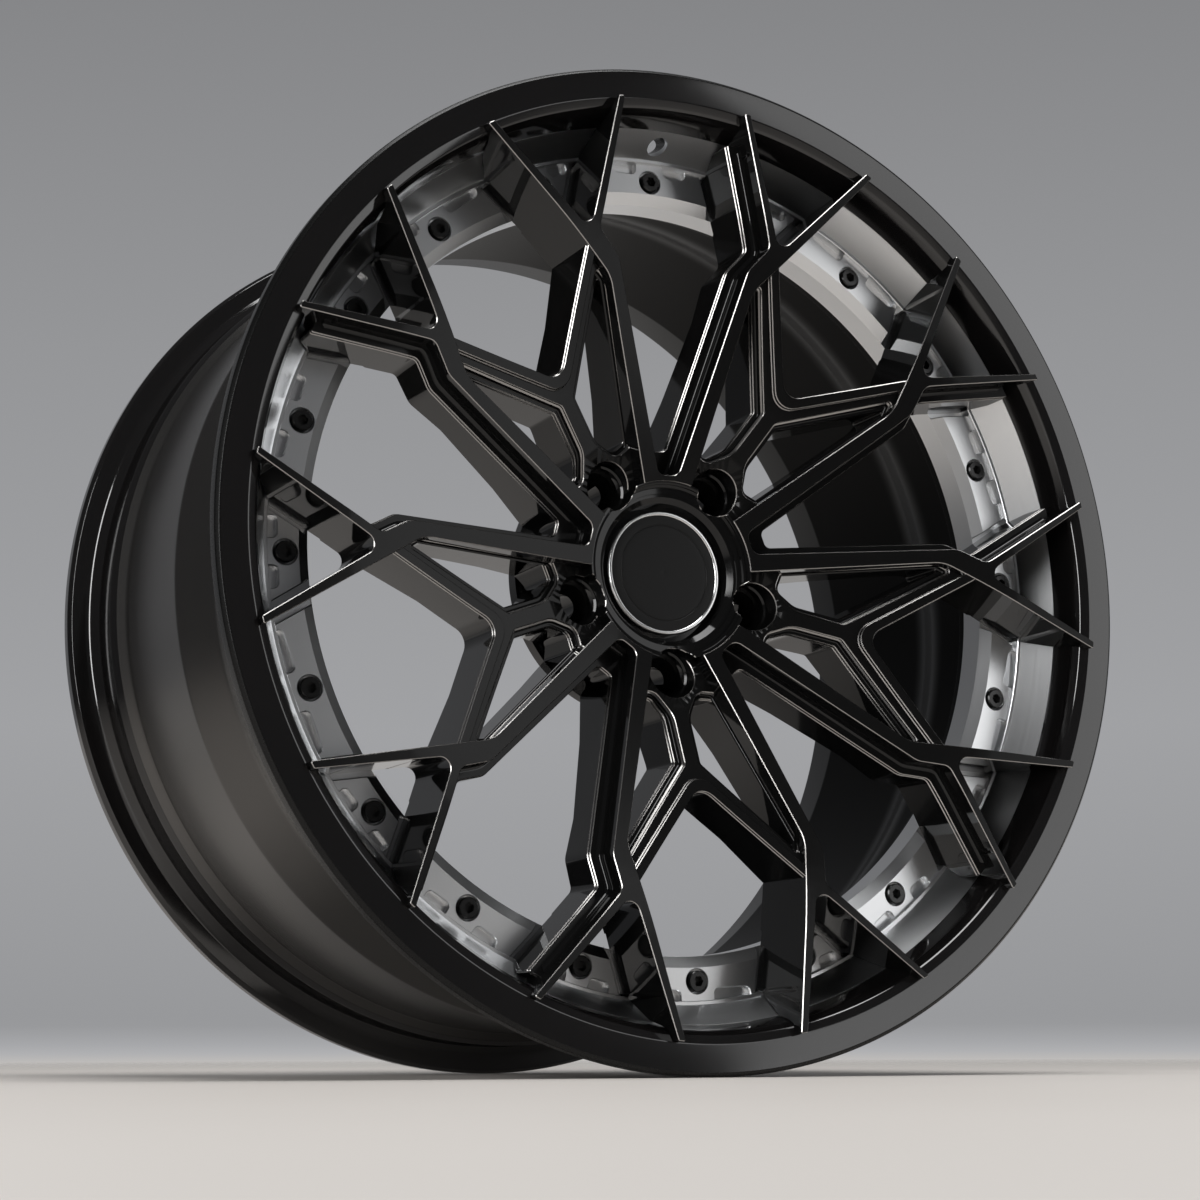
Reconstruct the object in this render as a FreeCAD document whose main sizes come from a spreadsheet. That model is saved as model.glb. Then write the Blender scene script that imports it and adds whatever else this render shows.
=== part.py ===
import FreeCAD, Part
import math
import os
import re
import Sketcher

# A five-stud, three-piece road wheel standing upright.
# The axle runs along Y, the styled face looks toward -Y and +Z is up.
# The origin is the centre of the hub's mounting face.
# Depths are measured behind the plane of the outer lip, so y = depth - pad_depth.

Vector = FreeCAD.Vector
doc = FreeCAD.newDocument("ForgedWheel")
sheet = doc.addObject("Spreadsheet::Sheet", "Dims")

# Lengths in mm. A value that is text follows from the values above it.
dimensions = {
    # rim
    "rim_radius": 273.7,
    "rim_width": 294.0,
    "rim_round": 2.0,
    "flange_height": 17.3,
    "flange_width": 13.0,
    "flange_curl": 4.0,
    "flange_break": 2.2,
    "flange_root": 5.5,
    "flange_foot": 5.0,
    "bead_radius": "=rim_radius - flange_height",
    "seat_rise": 0.4,
    "seat_width": 22.0,
    "seat_fall": 0.9,
    "hump_rise": 0.6,
    "hump_width": 5.0,
    "hump_fall": 2.0,
    # barrel behind the joint
    "well_drop": 19.4,
    "well_radius": "=bead_radius - well_drop",
    "well_end": 175.0,
    "well_slope": 29.0,
    "well_lead": 3.0,
    "barrel_ledge": 7.0,
    "ledge_taper": 0.5,
    "rear_seat_fall": 1.2,
    "rear_flare": 3.0,
    "barrel_wall": 4.5,
    "barrel_flange": 12.0,
    "barrel_gusset": 6.0,
    # outer lip
    "lip_face": 16.7,
    "lip_inner_radius": "=rim_radius - lip_face",
    "lip_edge": 0.8,
    "lip_curve": 10.0,
    "lip_shoulder": 4.5,
    "lip_shoulder_depth": 3.0,
    "lip_wall_inset": 7.0,
    "lip_wall_depth": 8.0,
    "lip_throat_radius": "=lip_inner_radius - lip_curve",
    "lip_throat_depth": 21.0,
    "joint_flange": 8.0,
    "joint_shoulder": 9.0,
    "joint_break": 1.0,
    "joint_relief": 1.5,
    # mounting ring
    "band_height": 12.5,
    "ring_step": 2.0,
    "ring_step_depth": 2.5,
    "ring_face_width": 20.5,
    "ring_bevel": 0.8,
    "ring_face_depth": 41.0,
    "ring_face_radius": "=lip_throat_radius - band_height",
    "ring_band_radius": "=ring_face_radius + ring_step",
    "ring_inner_radius": "=ring_face_radius - ring_face_width",
    "ring_flange": 9.0,
    "ring_wall": 3.5,
    "ring_skirt": 20.0,
    "ring_tongue": 2.0,
    "ring_tongue_depth": 3.0,
    "ring_back_step": 4.0,
    "seat_sink": 1.0,
    "slot_height": 5.1,
    "slot_round": 2.6,
    "slot_depth": 4.0,
    "slot_rim": 0.6,
    "slot_width": 10.0,
    "slot_offset": 15.0,
    "valve_hole": 5.75,
    "valve_depth": 30.0,
    "valve_rise": 5.0,
    "valve_start": 12.0,
    "valve_reach": 60.0,
    # assembly bolts
    "bolt_inset": 10.3,
    "bolt_circle": "=ring_face_radius - bolt_inset",
    "bolt_shank": 4.0,
    "bolt_head": 5.6,
    "bolt_head_height": 6.5,
    "bolt_break": 0.6,
    "bolt_socket": 3.003,
    "bolt_socket_depth": 3.55,
    "bolt_recess": 6.5,
    "bolt_recess_depth": 5.0,
    "bolt_point": 1.0,
    "bolt_length": "=ring_flange + joint_flange + barrel_flange + bolt_point",
    # face of the spokes
    "lip_gap": 0.7,
    "tip_gap": 0.6,
    "tip_radius": "=lip_inner_radius - tip_gap",
    "tip_rise": 4.8,
    "plan_reach": 256.4,
    "plan_scale": "=tip_radius / plan_reach",
    "crotch_radius": 190.5,
    "crotch_depth": 2.0,
    "apex_radius": 49.8,
    "apex_depth": 40.0,
    "ledge_drop": 15.0,
    "ledge_rise": 6.0,
    "ledge_end": 4.0,
    "chevron_radius": 123.0,
    "chevron_depth": 24.3,
    "chevron_rise": 0.331,
    "web_radius": 105.0,
    "web_depth": 33.7,
    "web_rise": 0.323,
    "web_step": 4.5,
    "strut_end_radius": 180.0,
    "strut_end_depth": 48.0,
    # back of the spokes
    "foot_inset": 10.5,
    "foot_radius": "=ring_inner_radius - foot_inset",
    "foot_drop": 6.0,
    "rib_radius": 150.0,
    "rib_depth": 52.0,
    "root_radius": 105.0,
    "root_depth": 69.0,
    # hub
    "pad_depth": 92.0,
    "pad_radius": 76.0,
    "pad_edge": 8.0,
    "bore_radius": 36.55,
    "bore_length": 16.0,
    "cap_bore_radius": 32.0,
    "cap_well_radius": 39.0,
    "cap_well_depth": 57.0,
    "hub_depth": 46.0,
    "hub_bevel": 3.0,
    "hub_edge": 0.5,
    "apex_drop": 0.8,
    "apex_skirt": 0.4,
    "hub_core": 12.0,
    "stud_circle": 57.15,
    "stud_hole": 7.25,
    "stud_pocket": 13.8,
    "stud_seat": 11.5,
    "stud_seat_depth": 64.0,
    "stud_cone": 7.4,
    # centre cap
    "cap_radius": 35.2,
    "cap_depth": 50.2,
    "cap_rim": 3.0,
    "cap_rim_break": 0.9,
    "cap_rim_edge": 1.0,
    "cap_rebate": 1.2,
    "cap_sink": 0.8,
    "cap_plate": 1.2,
    "cap_wall": 2.4,
    "cap_skirt": 15.0,
    "cap_wire": 0.9,
    "cap_wire_inset": 6.0,
    # fits
    "fit_gap": 0.1,
    "tool_run": 5.0,
}
for row, (alias, value) in enumerate(dimensions.items(), start=1):
    sheet.set("A%d" % row, alias)
    sheet.set("B%d" % row, str(value))
    sheet.setAlias("B%d" % row, alias)
doc.recompute()

spoke_count = 5
bolt_count = 20
# first spoke pair, turned clockwise from the top as seen from the front
first_pair = -3.2


def bound(text):
    """Expression text with every dimension name pointed at the sheet."""
    return re.sub(r"[a-z]\w*", lambda word: "Dims." + word[0] if word[0] in dimensions else word[0], text)


def value(text):
    """Present value of an expression on the dimensions."""
    return float(sheet.evalExpression(bound(text)))


def polygon(name, corners, upright):
    """Closed sketch through corners given as expression pairs.

    upright sketches lie in the XZ plane, the others in XY for turning.
    """
    sketch = doc.addObject("Sketcher::SketchObject", name)
    if upright:
        sketch.Placement = FreeCAD.Placement(Vector(), FreeCAD.Rotation(Vector(1, 0, 0), 90))
    spots = [(value(across), value(along)) for across, along in corners]
    count = len(spots)
    for index in range(count):
        here = Vector(*spots[index], 0)
        there = Vector(*spots[(index + 1) % count], 0)
        sketch.addGeometry(Part.LineSegment(here, there), False)
    rules = [Sketcher.Constraint("Coincident", i, 2, (i + 1) % count, 1) for i in range(count)]
    for index, spot in enumerate(spots):
        rules.append(Sketcher.Constraint("DistanceX", -1, 1, index, 1, spot[0]))
        rules.append(Sketcher.Constraint("DistanceY", -1, 1, index, 1, spot[1]))
    sketch.addConstraint(rules)
    for index, pair in enumerate(corners):
        for step, text in enumerate(pair):
            sketch.setExpression("Constraints[%d]" % (count + 2 * index + step), bound(text))
    return sketch


def rounded(name, solid, chosen):
    """Solid with the edges that chosen(edge) gives a radius rounded off."""
    doc.recompute()
    rounds = []
    for number, edge in enumerate(solid.Shape.Edges, start=1):
        radius = chosen(edge)
        if radius:
            rounds.append((number, radius, radius))
    if not rounds:
        return solid
    smooth = doc.addObject("Part::Fillet", name)
    smooth.Base = solid
    smooth.Edges = rounds
    return smooth


def turned(name, corners):
    """Solid of revolution about the axle from (radius, depth) corners."""
    rows = [(radius, "(%s) - pad_depth" % depth) for radius, depth in corners]
    spin = doc.addObject("Part::Revolution", name)
    spin.Source = polygon(name + "_profile", rows, False)
    spin.Axis = Vector(0, 1, 0)
    spin.Angle = 360
    spin.Solid = True
    return spin


def prism(name, corners, scale):
    """Plan outline run through the whole width, its corners rounded by their third value."""
    rows = [("(%s) * %s" % (corner[0], scale), "(%s) * %s" % (corner[1], scale)) for corner in corners]
    rounds = [(value(row[0]), value(row[1]), value("(%s) * %s" % (corner[2], scale)))
              for row, corner in zip(rows, corners)]
    block = doc.addObject("Part::Extrusion", name)
    block.Base = polygon(name + "_outline", rows, True)
    block.DirMode = "Custom"
    block.Dir = Vector(0, 1, 0)
    block.setExpression("LengthFwd", bound("rim_width"))
    block.setExpression("LengthRev", bound("rim_width"))
    block.Solid = True

    def radius_of(edge):
        ends = [vertex.Point for vertex in edge.Vertexes]
        if len(ends) < 2 or math.hypot(ends[0].x - ends[1].x, ends[0].z - ends[1].z) > 1e-6:
            return 0
        for across, along, radius in rounds:
            if math.hypot(ends[0].x - across, ends[0].z - along) < 1e-3:
                return radius
        return 0

    return rounded(name + "_rounded", block, radius_of)


def boolean(kind, name, pieces):
    """Common or fusion of several solids, or the first one cut by the second."""
    joined = doc.addObject("Part::" + kind, name)
    if kind == "Cut":
        joined.Base, joined.Tool = pieces
    else:
        joined.Shapes = pieces
    return joined


def ring_of(name, source, count, start=0):
    """Equal copies of one solid spaced round the axle, from an angle past the first spoke pair."""
    copies = []
    for number in range(count):
        copy = doc.addObject("App::Link", "%s_%d" % (name, number + 1))
        copy.LinkedObject = source
        copy.LinkTransform = True
        turn = FreeCAD.Rotation(Vector(0, 1, 0), first_pair + start + 360 / count * number)
        copy.Placement = FreeCAD.Placement(Vector(), turn)
        copies.append(copy)
    return copies


def group(name, pieces):
    bundle = doc.addObject("Part::Compound", name)
    bundle.Links = pieces
    return bundle


def mirrored(half):
    """Outline symmetric about its own axis from the corners of its right half."""
    left = [(-across, along, radius) for across, along, radius in reversed(half) if across > 0]
    return half + left


def swung(corners, degrees):
    """Corners given about an axis turned clockwise by so many degrees."""
    cosine = math.cos(math.radians(degrees))
    sine = math.sin(math.radians(degrees))
    return [(x * cosine + z * sine, z * cosine - x * sine, radius) for x, z, radius in corners]


def bar(name, radius, front, length, along):
    """Round bar along the axle, centred at a height above it."""
    rod = doc.addObject("Part::Cylinder", name)
    rod.Placement = FreeCAD.Placement(Vector(), FreeCAD.Rotation(Vector(1, 0, 0), -90))
    rod.setExpression("Radius", bound(radius))
    rod.setExpression("Height", bound(length))
    rod.setExpression("Placement.Base.y", bound("%s - pad_depth" % front))
    rod.setExpression("Placement.Base.z", bound(along))
    return rod


# Spoke pair seen from the front: corners (across, outward, corner radius) of its right half,
# from the foot at the hub out to the two blade tips and back to the notch between the arms.
pair_half = [
    (12.3, 38.0, 0),
    (45.4, 154.7, 20),
    (128.2, 232.2, 0),
    (124.2, 233.5, 0),
    (59.6, 176.4, 5.5),
    (39.9, 261.0, 0),
    (36.4, 261.0, 0),
    (53.7, 178.8, 6),
    (40.8, 165.5, 12),
    (6.2, 53.0, 5.4),
]
# Step running along the inner walls of the pair.
ledge_half = [
    (4.9, 69.0, 4),
    (35.5, 168.7, 10),
    (47.2, 180.8, 5),
    (30.3, 261.0, 0),
    (38.4, 261.0, 0),
    (55.5, 183.0, 0),
    (45.0, 163.0, 0),
    (13.0, 55.0, 0),
    (9.0, 48.0, 0),
]
# Forked strut behind each stud hole, about its own axis half way between two pairs.
chevron_half = [
    (0.0, 120.5, 9),
    (53.5, 175.4, 0),
    (55.0, 169.4, 0),
    (0.0, 112.5, 11),
]
web_half = [
    (0.0, 120.5, 9),
    (53.5, 175.4, 0),
    (58.0, 146.0, 0),
    (19.0, 44.8, 0),
    (0.0, 36.0, 0),
]
window_upper = [
    (52.6, 161.2, 3.2),
    (54.8, 151.9, 0),
    (24.5, 68.0, 4),
    (13.5, 67.0, 7),
    (4.5, 81.0, 14),
    (4.3, 109.0, 4),
]
window_lower = [
    (53.0, 156.0, 2.4),
    (54.8, 151.9, 0),
    (25.6, 71.5, 3),
    (14.5, 70.5, 5),
    (8.2, 82.0, 11),
    (8.2, 108.0, 3),
]

# Turned layers that set the height of each level of the face.
back_rows = [
    ("foot_radius", "ring_face_depth + foot_drop"),
    ("rib_radius", "rib_depth"),
    ("root_radius", "root_depth"),
    ("pad_radius", "pad_depth - pad_edge"),
    ("pad_radius", "pad_depth"),
    ("apex_radius", "pad_depth"),
]
# the feet follow the lip's inner wall and the ring's step at a small gap
step_depth = "ring_face_depth - ring_step_depth"
foot_rows = [
    ("ring_band_radius - lip_gap", step_depth + " - lip_gap"),
    ("ring_face_radius - lip_gap", step_depth + " - lip_gap"),
    ("ring_face_radius - lip_gap", "ring_face_depth + seat_sink"),
    ("foot_radius", "ring_face_depth + seat_sink"),
]
blade_rows = [
    ("tip_radius", "lip_edge - lip_gap"),
    ("lip_inner_radius - lip_shoulder - lip_gap", "lip_shoulder_depth - lip_gap / 2"),
    ("lip_inner_radius - lip_wall_inset - lip_gap", "lip_wall_depth"),
    ("lip_throat_radius - lip_gap", "lip_throat_depth"),
]


def sloped(depth, rise, radius):
    """Layer rows of a level that rises evenly outward from a known radius."""
    slope = "%s + %s * (%s - %%s)" % (depth, rise, radius)
    return [
        ("apex_radius", slope % "apex_radius"),
        ("strut_end_radius", slope % "strut_end_radius"),
        ("strut_end_radius", "strut_end_depth"),
    ] + back_rows[1:]


levels = {
    "crest": [
        ("apex_radius", "apex_depth"),
        ("crotch_radius", "crotch_depth"),
        ("tip_radius", "-tip_rise"),
    ] + blade_rows + foot_rows + back_rows,
    "ledge": [
        ("apex_radius", "apex_depth + ledge_drop"),
        ("crotch_radius", "crotch_depth + ledge_drop"),
        ("lip_throat_radius - ledge_end", "crotch_depth + ledge_drop - ledge_rise"),
        ("lip_throat_radius - ledge_end", "lip_throat_depth + ledge_end"),
    ] + foot_rows + back_rows,
    "chevron": sloped("chevron_depth", "chevron_rise", "chevron_radius"),
    "web": sloped("web_depth", "web_rise", "web_radius"),
    "shelf": sloped("web_depth + web_step", "web_rise", "web_radius"),
}
layers = {name: turned("layer_" + name, rows) for name, rows in levels.items()}

half_step = 180 / spoke_count
pair_block = prism("pair", mirrored(pair_half), "plan_scale")
ledge_block = prism("pair_ledge", mirrored(ledge_half), "plan_scale")
chevron_block = prism("strut_chevron", swung(mirrored(chevron_half), half_step), "plan_scale")
web_block = prism("strut_web", swung(mirrored(web_half), half_step), "plan_scale")


def pierced(name, window):
    """Strut web with its window cut either side of the stem."""
    sides = []
    for label, sign in (("left", -1), ("right", 1)):
        outline = swung([(sign * x, z, radius) for x, z, radius in window], half_step)
        sides.append(prism("%s_window_%s" % (name, label), outline, "plan_scale"))
    return boolean("Cut", name + "_plan", [web_block, group(name + "_windows", sides)])


plans = {
    "crest": pair_block,
    "ledge": ledge_block,
    "chevron": chevron_block,
    "web": pierced("web", window_upper),
    "shelf": pierced("shelf", window_lower),
}
sector_parts = [boolean("MultiCommon", name, [plans[name], layers[name]]) for name in levels]
sector = boolean("MultiFuse", "spoke_sector", sector_parts)

hub = turned("hub", [
    ("cap_bore_radius", "cap_well_depth"),
    ("cap_well_radius", "cap_well_depth"),
    ("cap_well_radius", "hub_depth + hub_bevel"),
    ("cap_well_radius + hub_bevel", "hub_depth + hub_edge"),
    ("apex_radius - hub_bevel", "hub_depth"),
    ("apex_radius - hub_bevel", "apex_depth + hub_bevel"),
    ("apex_radius", "apex_depth + apex_drop"),
    ("apex_radius + apex_skirt", "apex_depth + hub_core"),
    ("stud_circle + stud_pocket", "hub_depth + hub_core"),
    ("pad_radius", "pad_depth - pad_edge"),
    ("pad_radius", "pad_depth"),
    ("bore_radius", "pad_depth"),
    ("bore_radius", "pad_depth - bore_length"),
    ("cap_bore_radius", "pad_depth - bore_length"),
])
stud_tool = turned("stud_tool", [
    ("0", "0"),
    ("stud_pocket", "0"),
    ("stud_pocket", "stud_seat_depth"),
    ("stud_seat", "stud_seat_depth"),
    ("stud_hole", "stud_seat_depth + stud_cone"),
    ("stud_hole", "pad_depth + tool_run"),
    ("0", "pad_depth + tool_run"),
])
stud_tool.setExpression("Placement.Base.x", bound("stud_circle * sin(%s)" % half_step))
stud_tool.setExpression("Placement.Base.z", bound("stud_circle * cos(%s)" % half_step))
stud_tools = group("stud_tools", ring_of("stud_place", stud_tool, spoke_count))
lattice = boolean("MultiFuse", "lattice", ring_of("sector", sector, spoke_count) + [hub])
spoke_centre = boolean("Cut", "spoke_centre", [lattice, stud_tools])

# Silver ring that carries the spokes: bolted face, conical band with the valve hole, inner skirt.
ring_back = "ring_face_depth + ring_flange"
ring_blank = turned("ring_blank", [
    ("ring_inner_radius", "ring_face_depth + ring_bevel"),
    ("ring_inner_radius + ring_bevel", "ring_face_depth"),
    ("ring_face_radius", "ring_face_depth"),
    ("ring_face_radius", step_depth),
    ("ring_band_radius", step_depth),
    ("lip_throat_radius", "lip_throat_depth"),
    ("lip_throat_radius + ring_tongue", "lip_throat_depth"),
    ("lip_throat_radius + ring_tongue", "lip_throat_depth + ring_tongue_depth"),
    ("ring_band_radius + ring_back_step", ring_back),
    ("ring_inner_radius + ring_wall", ring_back),
    ("ring_inner_radius + ring_wall", "ring_face_depth + ring_skirt"),
    ("ring_inner_radius", "ring_face_depth + ring_skirt"),
])
bolt_recess = bar("bolt_recess_tool", "bolt_recess", "ring_face_depth - tool_run",
                  "bolt_recess_depth + tool_run", "bolt_circle")
bolt_clear = bar("bolt_clear_tool", "bolt_shank + 2 * fit_gap", "ring_face_depth",
                 "bolt_length + tool_run", "bolt_circle")

# the valve hole leans outward from the band
valve_lean = 30
valve_tool = bar("valve_tool", "valve_hole", "0", "valve_reach", "0")
valve_tool.Placement.Rotation = FreeCAD.Rotation(Vector(1, 0, 0), valve_lean - 90)
valve_tool.setExpression(
    "Placement.Base.y", bound("valve_depth - pad_depth - valve_start * cos(%d)" % valve_lean))
valve_tool.setExpression(
    "Placement.Base.z", bound("ring_band_radius + valve_rise - valve_start * sin(%d)" % valve_lean))

def face_layer(name, outer, depth):
    """Turned layer of the ring's face, from in front of it down to a depth below it."""
    return turned(name, [
        ("foot_radius", step_depth),
        (outer, step_depth),
        (outer, "ring_face_depth + " + depth),
        ("foot_radius", "ring_face_depth + " + depth),
    ])


slot_layer = face_layer("slot_layer", "ring_face_radius - slot_rim", "slot_depth")


def slot(name, middle):
    """Round-ended pocket milled in from the outer edge of the ring's face."""
    start = "%s - slot_width / 2" % middle
    end = "%s + slot_width / 2" % middle
    floor = "ring_face_radius - slot_height"
    return prism(name, [
        (start, "ring_band_radius", "0"),
        (end, "ring_band_radius", "0"),
        (end, floor, "slot_round"),
        (start, floor, "slot_round"),
    ], "1")


slot_sides = group("slot_sides", [slot("slot_left", "-slot_offset"), slot("slot_right", "slot_offset")])
slot_tool = boolean("MultiCommon", "slot_tool", [slot_sides, slot_layer])
doc.recompute()
ring_tools = []
for label, tool in (("recess", bolt_recess), ("clear", bolt_clear), ("slot", slot_tool)):
    ring_tools += ring_of("ring_" + label, tool, bolt_count)
ring_tools += ring_of("ring_valve", valve_tool, 1)
ring_cut = boolean("Cut", "ring_cut", [ring_blank, group("ring_tools", ring_tools)])
# the feet of the blades sink into seats milled to their own outline
seat_layer = face_layer("seat_layer", "ring_face_radius", "seat_sink")
seats = []
for label, plan in (("seat", pair_block), ("seat_inner", ledge_block)):
    seats += ring_of(label, boolean("MultiCommon", label + "_tool", [plan, seat_layer]), spoke_count)
mounting_ring = boolean("Cut", "mounting_ring", [ring_cut, group("seats", seats)])


def flange(face):
    """Flange down to the bead seat, with face(text) turning a distance from the edge into a depth."""
    return [
        ("rim_radius - rim_round", face("0")),
        ("rim_radius", face("rim_round")),
        ("rim_radius", face("flange_width - flange_curl")),
        ("rim_radius - flange_break", face("flange_width - flange_curl / 4")),
        ("bead_radius + flange_root", face("flange_width")),
        ("bead_radius + seat_rise", face("flange_width + flange_foot")),
    ]


seat_end = "flange_width + seat_width"
hump_end = seat_end + " + 2 * hump_width"
joint_back = ring_back + " + joint_flange"
pilot_radius = "ring_inner_radius + ring_wall + 2 * fit_gap"
outer_lip_blank = turned("outer_lip_blank", [
    ("lip_inner_radius", "lip_edge"),
] + flange(lambda text: text) + [
    ("bead_radius - seat_fall", seat_end),
    ("bead_radius + hump_rise", seat_end + " + hump_width"),
    ("bead_radius - hump_fall", hump_end),
    ("well_radius + joint_shoulder", joint_back + " - joint_break"),
    ("well_radius + joint_relief", joint_back),
    (pilot_radius, joint_back),
    (pilot_radius, ring_back + " + fit_gap / 2"),
    ("ring_band_radius + ring_back_step + fit_gap", ring_back + " + fit_gap / 2"),
    ("lip_throat_radius + ring_tongue + fit_gap", "lip_throat_depth + ring_tongue_depth"),
    ("lip_throat_radius + ring_tongue + fit_gap", "lip_throat_depth - fit_gap / 2"),
    ("lip_throat_radius", "lip_throat_depth - fit_gap / 2"),
    ("lip_inner_radius - lip_wall_inset", "lip_wall_depth"),
    ("lip_inner_radius - lip_shoulder", "lip_shoulder_depth"),
])
lip_tools = ring_of("lip_clear", bolt_clear, bolt_count) + ring_of("lip_valve", valve_tool, 1)
outer_lip = boolean("Cut", "outer_lip", [outer_lip_blank, group("lip_tools", lip_tools)])


def from_back(text):
    return "rim_width - (%s)" % text


barrel_front = joint_back + " + fit_gap / 2"
barrel_back = barrel_front + " + barrel_flange"
ledge_radius = "bead_radius - barrel_ledge"
slope_end = "well_end - well_slope"
barrel_blank = turned("barrel_blank", [
    (pilot_radius, barrel_front),
    ("well_radius + joint_break", barrel_front),
    ("well_radius", barrel_front + " + well_lead"),
    ("well_radius", from_back("well_end")),
    (ledge_radius, from_back(slope_end)),
    (ledge_radius + " + ledge_taper", from_back(hump_end)),
    ("bead_radius - rear_seat_fall", from_back(seat_end + " + hump_width")),
] + flange(from_back)[::-1] + [
    ("bead_radius + flange_curl", from_back("lip_edge")),
    ("bead_radius - barrel_wall", from_back("flange_width - rear_flare")),
    (ledge_radius + " - barrel_wall", from_back(hump_end + " + rim_round")),
    (ledge_radius + " - barrel_wall", from_back(slope_end + " - rim_round")),
    ("well_radius - barrel_wall", from_back("well_end - rim_round")),
    ("well_radius - barrel_wall", barrel_back + " + barrel_gusset"),
    ("well_radius - barrel_wall - flange_curl", barrel_back),
    (pilot_radius, barrel_back),
])
barrel_tools = group("barrel_tools", ring_of("barrel_hole", bolt_clear, bolt_count))
inner_barrel = boolean("Cut", "inner_barrel", [barrel_blank, barrel_tools])

head_back = "ring_face_depth + bolt_recess_depth"
head_front = head_back + " - bolt_head_height"
bolt_end = "ring_face_depth + bolt_length"
bolt_blank = turned("bolt_blank", [
    ("0", head_front),
    ("bolt_head - bolt_break", head_front),
    ("bolt_head", head_front + " + bolt_break"),
    ("bolt_head", head_back),
    ("bolt_shank", head_back),
    ("bolt_shank", bolt_end + " - bolt_point"),
    ("bolt_shank - bolt_point", bolt_end),
    ("0", bolt_end),
])
socket_tool = doc.addObject("Part::Prism", "socket_tool")
socket_tool.Polygon = 6
socket_tool.Placement = FreeCAD.Placement(Vector(), FreeCAD.Rotation(Vector(1, 0, 0), -90))
socket_tool.setExpression("Circumradius", bound("bolt_socket"))
socket_tool.setExpression("Height", bound("bolt_socket_depth + tool_run"))
socket_tool.setExpression("Placement.Base.y", bound(head_front + " - pad_depth - tool_run"))
bolt = boolean("Cut", "bolt", [bolt_blank, socket_tool])
bolt.setExpression("Placement.Base.z", bound("bolt_circle"))
assembly_bolts = group("assembly_bolts", ring_of("bolt_place", bolt, bolt_count))

# Push-in cap: moulded body, bright ring round its rim, plain disc and a spring ring.
plate_radius = "cap_radius - cap_rim + cap_rebate"
plate_back = "cap_depth + cap_sink + cap_plate"
crown_back = "cap_depth + cap_plate + cap_wall"
skirt_radius = "cap_bore_radius - 4 * fit_gap"
skirt_end = "cap_well_depth + cap_skirt"
skirt_inner = skirt_radius + " - cap_wall"
cap_body = turned("cap_body", [
    ("0", plate_back),
    (plate_radius, plate_back),
    (plate_radius, "cap_well_depth"),
    (skirt_radius, "cap_well_depth"),
    (skirt_radius, skirt_end),
    (skirt_inner, skirt_end),
    (skirt_inner, crown_back),
    ("0", crown_back),
])
cap_trim_ring = turned("cap_trim_ring", [
    ("cap_radius - cap_rim", "cap_depth + cap_sink - fit_gap"),
    ("cap_radius - cap_rim + cap_rim_break", "cap_depth"),
    ("cap_radius - cap_rim_edge", "cap_depth"),
    ("cap_radius", "cap_depth + cap_rim_edge"),
    ("cap_radius", "cap_well_depth"),
    (plate_radius + " + fit_gap", "cap_well_depth"),
    (plate_radius + " + fit_gap", "cap_depth + cap_sink - fit_gap / 2"),
])
cap_disc = turned("cap_disc", [
    ("0", "cap_depth + cap_sink"),
    (plate_radius, "cap_depth + cap_sink"),
    (plate_radius, plate_back),
    ("0", plate_back),
])
wire_front = skirt_end + " - cap_wire_inset"
cap_spring_ring = turned("cap_spring_ring", [
    (skirt_inner + " - 2 * cap_wire", wire_front),
    (skirt_inner, wire_front),
    (skirt_inner, wire_front + " + 2 * cap_wire"),
    (skirt_inner + " - 2 * cap_wire", wire_front + " + 2 * cap_wire"),
])

doc.recompute()
for item in doc.Objects:
    if "Invalid" in item.State or "Error" in item.State:
        raise RuntimeError("%s did not build" % item.Name)
os.makedirs("parts", exist_ok=True)
for node in (spoke_centre, mounting_ring, outer_lip, inner_barrel, assembly_bolts,
             cap_body, cap_trim_ring, cap_disc, cap_spring_ring):
    if node.Shape.isNull() or not node.Shape.isValid():
        raise RuntimeError("%s is not a sound solid" % node.Label)
    print(node.Label, round(node.Shape.Volume / 1000, 2), len(node.Shape.Solids), len(node.Shape.Faces))
    node.Shape.exportStep("parts/%s.step" % node.Label)
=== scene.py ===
import bmesh
import bpy
import math
import numpy as np
from mathutils import Matrix, Vector
from mathutils.geometry import delaunay_2d_cdt


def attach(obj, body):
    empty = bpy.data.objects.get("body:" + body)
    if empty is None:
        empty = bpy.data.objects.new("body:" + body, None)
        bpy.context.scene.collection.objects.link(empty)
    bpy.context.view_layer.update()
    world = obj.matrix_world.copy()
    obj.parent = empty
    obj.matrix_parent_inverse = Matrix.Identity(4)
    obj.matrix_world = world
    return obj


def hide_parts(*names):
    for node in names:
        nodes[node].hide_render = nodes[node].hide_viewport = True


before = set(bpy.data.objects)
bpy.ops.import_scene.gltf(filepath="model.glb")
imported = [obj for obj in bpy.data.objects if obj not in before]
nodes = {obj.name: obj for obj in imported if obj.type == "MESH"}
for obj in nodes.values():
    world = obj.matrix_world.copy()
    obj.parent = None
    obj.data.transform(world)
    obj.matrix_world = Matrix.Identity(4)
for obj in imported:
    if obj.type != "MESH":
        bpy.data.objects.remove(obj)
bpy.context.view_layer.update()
print("frame loaded", sorted(nodes))


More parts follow.
